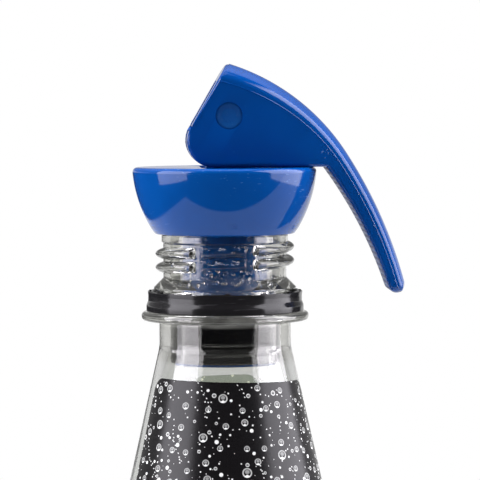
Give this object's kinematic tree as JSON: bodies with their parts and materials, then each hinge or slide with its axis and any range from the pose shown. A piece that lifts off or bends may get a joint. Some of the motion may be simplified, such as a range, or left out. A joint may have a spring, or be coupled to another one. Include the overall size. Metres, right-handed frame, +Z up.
{
  "type": "bottle with lever stopper",
  "caption": "Clear blown plastic soda bottle with a short screw neck, black labels and band, closed by a blue cam-lever stopper whose rubber plug swells in the neck.",
  "frame": {"origin": "centre of the base, on the plane that the bottle stands on", "axes": "+Z up along the bottle, +X towards the lever's arm, -Y towards the front label"},
  "size_m": [0.0683, 0.065, 0.2636],
  "materials": {
    "clear_plastic": "clear, glossy, blown plastic",
    "label_film": "black film with printed bubbles",
    "black_plastic": "glossy black",
    "blue_plastic": "glossy blue",
    "black_rubber": "smooth, wet"
  },
  "bodies": {
    "bottle": {"bottle": "clear_plastic", "front_label": "label_film", "back_label": "label_film"},
    "tamper_band": {"tamper_band": "black_plastic"},
    "stopper": {"stopper_cap": "blue_plastic", "rubber_plug": "black_rubber"},
    "stem": {"stem": "blue_plastic"},
    "lever": {"lever": "blue_plastic", "pivot_pin": "blue_plastic"}
  },
  "joints": [
    {"name": "band_spin", "type": "hinge", "parent": "bottle", "child": "tamper_band", "pos_m": [0, 0, 0.216], "axis": [0, 0, 1], "continuous": true},
    {"name": "stopper_lift", "type": "slide", "parent": "bottle", "child": "stopper", "axis": [0, 0, 1], "range_m": [0, 0.06]},
    {"name": "stem_travel", "type": "slide", "parent": "stopper", "child": "stem", "axis": [0, 0, 1], "range_m": [-0.00475, 0], "deforming": ["rubber_plug"]},
    {"name": "lever_swing", "type": "hinge", "parent": "stem", "child": "lever", "pos_m": [0.00065, 0, 0.25327], "axis": [0, -1, 0], "range_deg": [0, 120]}
  ],
  "couplings": [
    {"joint": "stem_travel", "follows": "lever_swing", "m_per_rad": -0.0022632}
  ]
}
